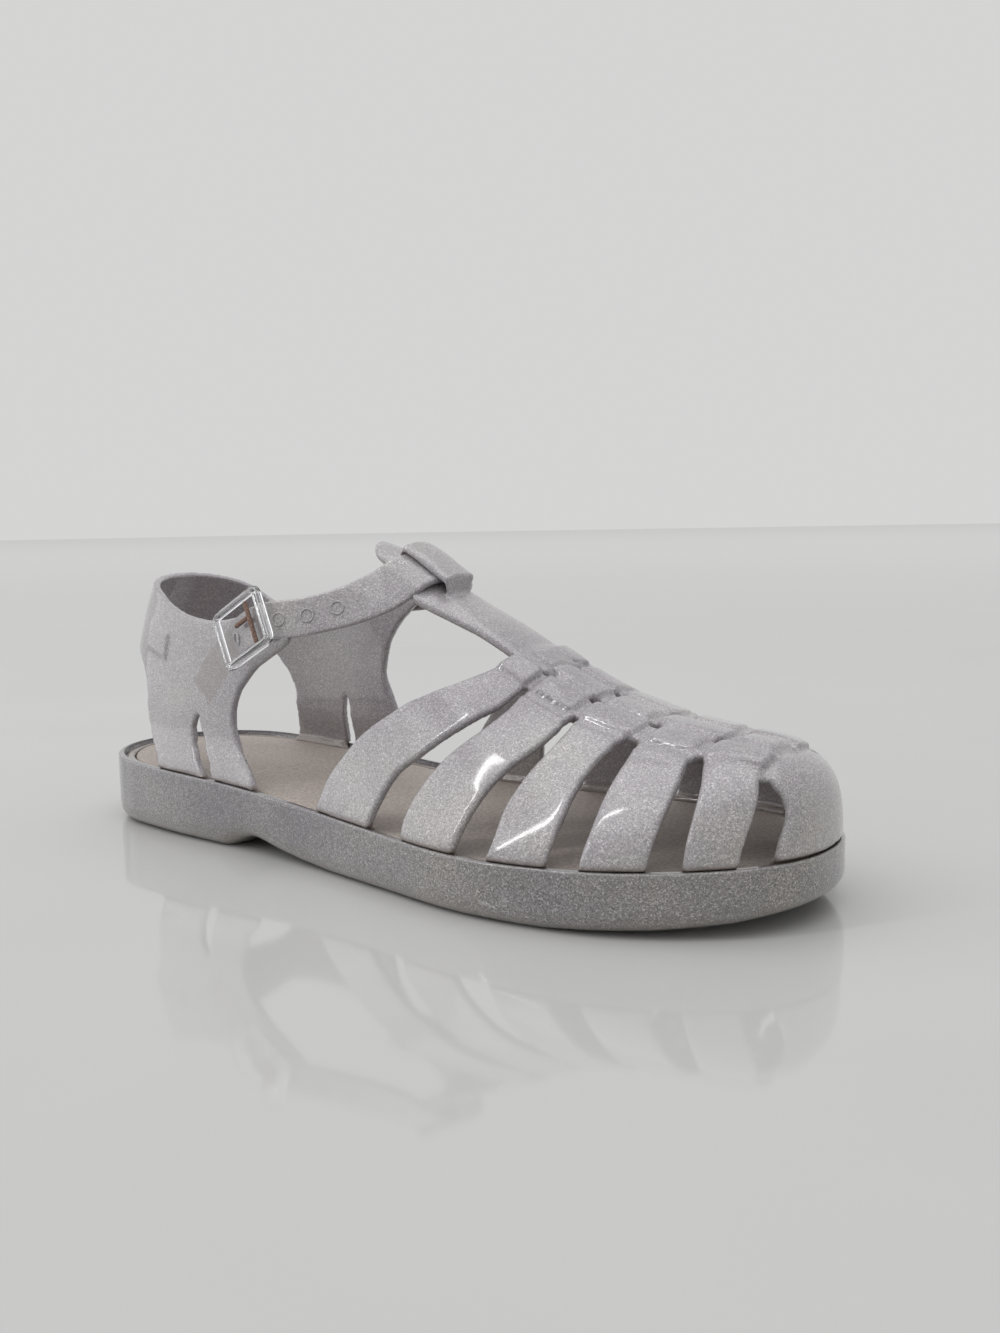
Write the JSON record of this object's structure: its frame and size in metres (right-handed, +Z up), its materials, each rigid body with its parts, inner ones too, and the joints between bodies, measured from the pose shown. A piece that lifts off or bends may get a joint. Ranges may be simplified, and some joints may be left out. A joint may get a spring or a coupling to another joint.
{
  "type": "jelly sandal",
  "caption": "Right jelly sandal moulded in clear glitter plastic: woven straps over a closed toe, bar on the instep, window at the heel, ankle strap with a square buckle.",
  "frame": {"origin": "middle of the shoe's box, on the floor", "axes": "+X from heel to toe, +Y to the inner side of the foot, +Z up"},
  "size_m": [0.256, 0.0958, 0.0916],
  "materials": {
    "outsole": "clear plastic full of silver glitter",
    "insole": "satin",
    "upper": "clear plastic full of silver glitter",
    "buckle_frame": "clear",
    "buckle_prong": "worn, with rust at the ends",
    "strap_stud": "dark"
  },
  "bodies": {
    "root": {"outsole": "outsole", "insole": "insole", "upper": "upper", "buckle_frame": "buckle_frame", "buckle_prong": "buckle_prong", "strap_stud": "strap_stud"}
  },
  "joints": []
}
